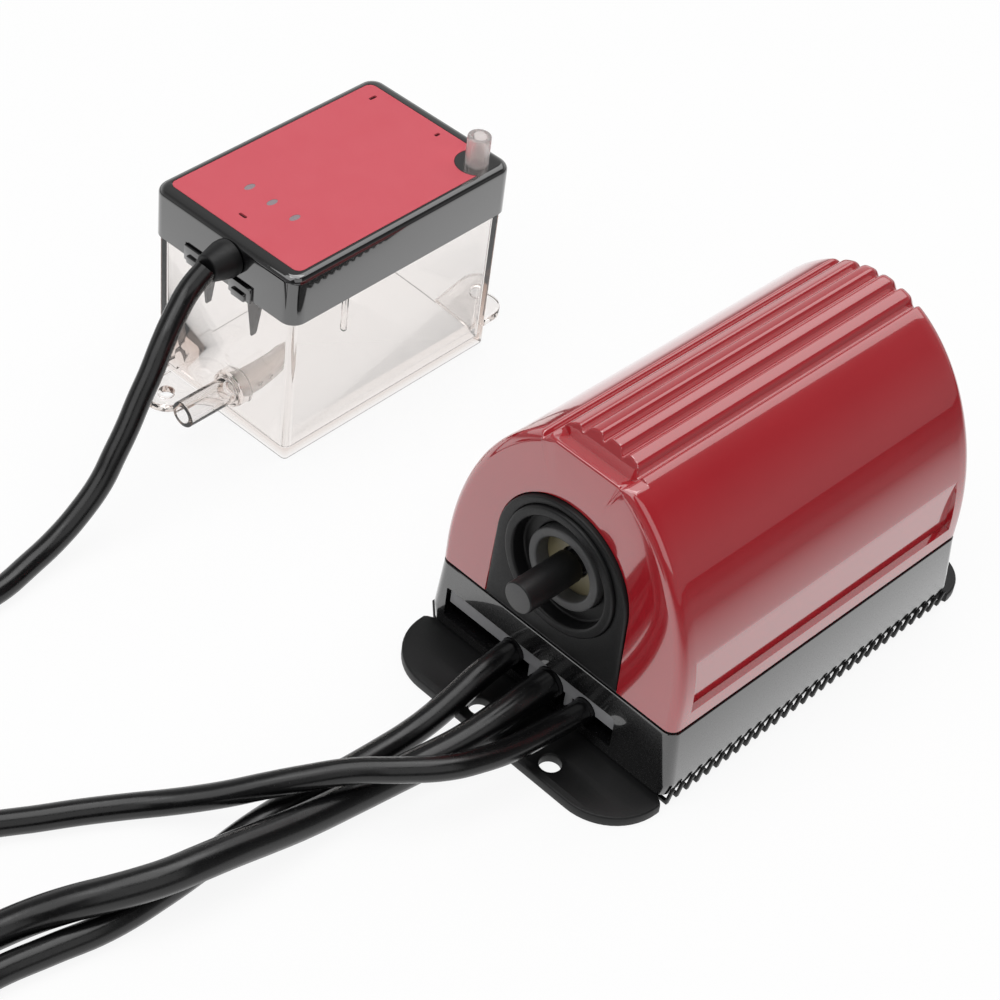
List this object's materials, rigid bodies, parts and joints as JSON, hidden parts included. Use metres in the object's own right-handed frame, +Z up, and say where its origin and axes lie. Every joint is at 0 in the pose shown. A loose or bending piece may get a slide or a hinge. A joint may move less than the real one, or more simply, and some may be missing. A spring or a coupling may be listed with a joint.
{
  "type": "miniature condensate pump with reservoir",
  "caption": "Arched oscillating-piston pump on a flat base with end spigots and mounting tabs, linked by a lead to a clear reservoir under a sensor lid.",
  "frame": {"origin": "on the floor under the middle of the pump unit, centred in its width and length", "axes": "+X across the pump to its right side, +Y from the outlet and lead end to the inlet end, +Z up"},
  "size_m": [0.266, 0.4141, 0.083],
  "materials": {
    "red_plastic": "moulded ABS, high gloss",
    "base_plastic": "moulded ABS, gloss black",
    "pad_rubber": "moulded rubber, satin black",
    "boot_rubber": "moulded rubber, satin black",
    "cap_rubber": "soft rubber",
    "valve_rubber": "silicone",
    "cream_plastic": "moulded nylon",
    "spigot_plastic": "moulded acetal",
    "brass": "drawn tube",
    "steel": "ground steel",
    "copper_wire": "enamelled copper wire",
    "board_green": "glass-fibre board",
    "relay_blue": "moulded case",
    "capacitor_yellow": "moulded case",
    "terminal_green": "moulded nylon",
    "clamp_grey": "moulded nylon",
    "lead_sheath": "extruded PVC sheath, satin",
    "core_brown": "PVC insulation",
    "core_grey": "PVC insulation",
    "clear_plastic": "clear moulded polycarbonate",
    "filter_plastic": "translucent polypropylene",
    "lid_plastic": "moulded ABS, gloss black",
    "label_red": "printed polyester film",
    "window_grey": "translucent window"
  },
  "bodies": {
    "pump": {"mounting_pad": "pad_rubber", "base_tray": "base_plastic", "top_cover": "red_plastic", "front_boot": "boot_rubber", "rear_boot": "boot_rubber", "valve_block": "cream_plastic", "inlet_block": "cream_plastic", "outlet_spigot": "spigot_plastic", "inlet_spigot": "spigot_plastic", "outlet_cap": "cap_rubber", "guide_tube": "brass", "drive_spring": "steel", "return_spring": "steel", "outlet_ball_spring": "steel", "coil_bobbin": "cream_plastic", "coil_winding": "copper_wire", "magnet_yoke": "steel", "pole_rings": "steel", "thermal_cutout": "cream_plastic", "core_seals": "cap_rubber", "cover_screws": "steel", "control_board": "board_green", "relay": "relay_blue", "capacitor": "capacitor_yellow", "terminal_block": "terminal_green", "board_screws": "steel", "lead_clamp": "clamp_grey", "clamp_screws": "steel", "lead_bushes": "lead_sheath", "sensor_lead": "lead_sheath", "sensor_coil": "lead_sheath", "reservoir_lead": "lead_sheath", "mains_lead": "lead_sheath", "mains_coil": "lead_sheath", "mains_cores": "core_brown", "alarm_lead": "lead_sheath", "alarm_coil": "lead_sheath", "alarm_cores": "core_grey", "reservoir_body": "clear_plastic", "filter_tube": "filter_plastic", "sensor_lid": "lid_plastic", "lid_label": "label_red", "label_windows": "window_grey", "lid_gasket": "cap_rubber", "sensor_board": "board_green", "level_probes": "steel", "lid_clips": "lid_plastic", "lead_gland": "boot_rubber", "vent_spigot": "clear_plastic"},
    "piston": {"piston": "steel", "piston_ball_spring": "steel"},
    "piston_valve": {"piston_ball": "valve_rubber"},
    "outlet_valve": {"outlet_ball": "valve_rubber"}
  },
  "joints": [
    {"name": "piston_stroke", "type": "slide", "parent": "pump", "child": "piston", "axis": [0, 1, 0], "range_m": [-0.0025, 0.0025], "stiffness_N_per_m": 900, "deforming": ["drive_spring", "return_spring"]},
    {"name": "piston_valve_lift", "type": "slide", "parent": "piston", "child": "piston_valve", "axis": [0, -1, 0], "range_m": [0, 0.001], "stiffness_N_per_m": 60, "deforming": ["piston_ball_spring"]},
    {"name": "outlet_valve_lift", "type": "slide", "parent": "pump", "child": "outlet_valve", "axis": [0, -1, 0], "range_m": [0, 0.001], "stiffness_N_per_m": 60, "deforming": ["outlet_ball_spring"]}
  ]
}
